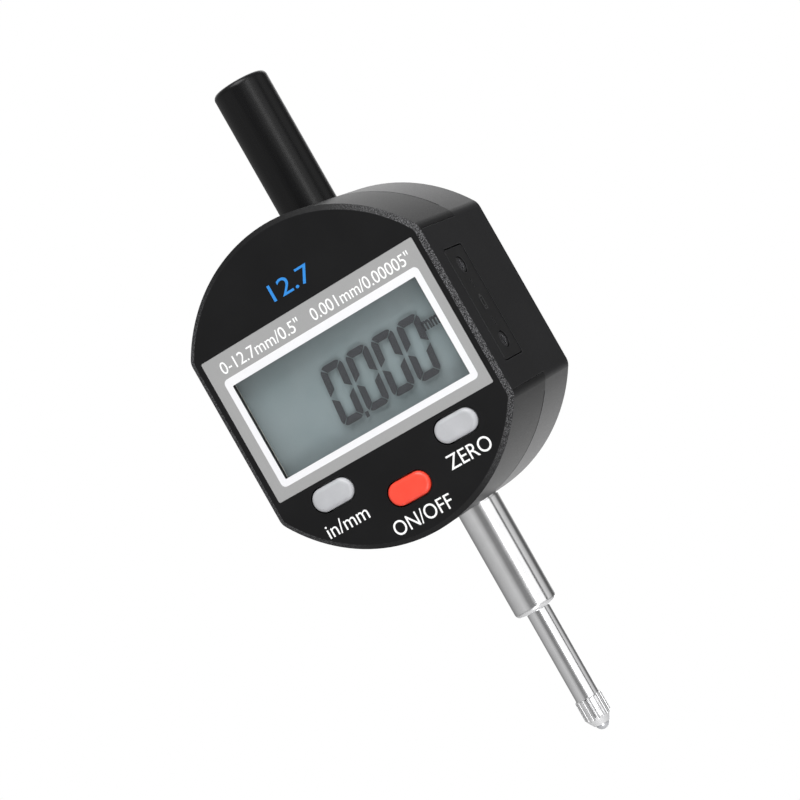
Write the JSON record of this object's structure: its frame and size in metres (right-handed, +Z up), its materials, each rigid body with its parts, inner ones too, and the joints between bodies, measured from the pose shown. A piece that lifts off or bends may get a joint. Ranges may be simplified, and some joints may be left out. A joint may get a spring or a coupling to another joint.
{
  "type": "digital dial indicator",
  "caption": "Digital plunger indicator: round body with two side flats, display window, push buttons, capped spindle, plain clamping stem and fluted contact point.",
  "frame": {"origin": "on the spindle axis, half-way along the bare stem", "axes": "+Z up the spindle axis from the contact point to the cap, -Y the display's side, +X to the right of the display"},
  "size_m": [0.0496, 0.0292, 0.129],
  "materials": {
    "black_face": "moulded black plastic with a fine spark-eroded grain",
    "black_housing": "moulded black plastic, satin",
    "black_cap": "black tube, fine satin grain",
    "cover_black": "moulded black plastic, fine grain",
    "lens_clear": "clear polished window",
    "mask_print": "printed grey film with a white frame",
    "gasket_foam": "die-cut adhesive foam",
    "lcd_glass": "grey-green display glass",
    "lcd_back": "transflective film",
    "white_plastic": "moulded white plastic",
    "grey_button": "silver-grey moulded button, satin",
    "red_button": "red-orange moulded button, satin",
    "silicone": "translucent grey silicone rubber",
    "black_rubber": "black nitrile rubber",
    "board_green": "glass-fibre board with green resist",
    "chip_black": "moulded chip package",
    "connector_plastic": "cream connector body",
    "flex_film": "amber polyimide ribbon",
    "polished_steel": "ground and polished stainless steel",
    "fine_steel": "stainless steel",
    "dark_screw": "black-zinc steel screw",
    "bush_brass": "turned brass",
    "carriage_alu": "milled aluminium",
    "carbide": "polished carbide",
    "spring_steel": "spring wire"
  },
  "bodies": {
    "root": {"battery_cell": "fine_steel", "battery_contact_negative": "spring_steel", "battery_contact_positive": "spring_steel", "battery_cover": "cover_black", "battery_cover_screws": "dark_screw", "battery_cover_seal": "black_rubber", "battery_holder": "white_plastic", "cap_seal": "black_rubber", "contact_strips": "silicone", "crystal": "fine_steel", "display_lens": "lens_clear", "dome_power": "silicone", "dome_unit": "silicone", "dome_zero": "silicone", "driver_chip": "chip_black", "fixed_spring_pin": "fine_steel", "flex_cable": "flex_film", "flex_connector": "connector_plastic", "front_cover": "black_face", "guide_rail": "fine_steel", "guide_rail_screws": "fine_steel", "housing_screws": "dark_screw", "housing_seal": "black_rubber", "keypad_membrane": "silicone", "lcd_front_glass": "lcd_glass", "lcd_holder": "white_plastic", "lcd_rear_glass": "lcd_glass", "lcd_reflector": "lcd_back", "lens_gasket": "gasket_foam", "lens_mask": "mask_print", "lower_bush": "bush_brass", "lower_stop_washer": "black_rubber", "main_board": "board_green", "main_board_screws": "fine_steel", "reader_board": "board_green", "reader_board_screws": "fine_steel", "rear_housing": "black_housing", "return_spring": "spring_steel", "stem": "polished_steel", "stem_nut": "fine_steel", "top_cap": "black_cap", "upper_bush": "bush_brass", "upper_stop_washer": "black_rubber", "wiper_seal": "black_rubber"},
    "spindle": {"spindle": "polished_steel", "contact_point": "polished_steel", "contact_ball": "carbide", "carriage": "carriage_alu", "carriage_set_screws": "fine_steel", "scale_strip": "board_green", "guide_pin": "fine_steel", "moving_spring_pin": "fine_steel"},
    "button_unit_body": {"button_unit": "grey_button"},
    "button_power_body": {"button_power": "red_button"},
    "button_zero_body": {"button_zero": "grey_button"}
  },
  "joints": [
    {"name": "spindle_travel", "type": "slide", "parent": "root", "child": "spindle", "axis": [0, 0, 1], "range_m": [0, 0.0127], "stiffness_N_per_m": 50, "springref_m": -0.02, "deforming": ["return_spring"]},
    {"name": "button_unit_press", "type": "slide", "parent": "root", "child": "button_unit_body", "axis": [0, 1, 0], "range_m": [0, 0.0005], "stiffness_N_per_m": 1500, "springref_m": -0.0002, "deforming": ["dome_unit"]},
    {"name": "button_power_press", "type": "slide", "parent": "root", "child": "button_power_body", "axis": [0, 1, 0], "range_m": [0, 0.0005], "stiffness_N_per_m": 1500, "springref_m": -0.0002, "deforming": ["dome_power"]},
    {"name": "button_zero_press", "type": "slide", "parent": "root", "child": "button_zero_body", "axis": [0, 1, 0], "range_m": [0, 0.0005], "stiffness_N_per_m": 1500, "springref_m": -0.0002, "deforming": ["dome_zero"]}
  ]
}
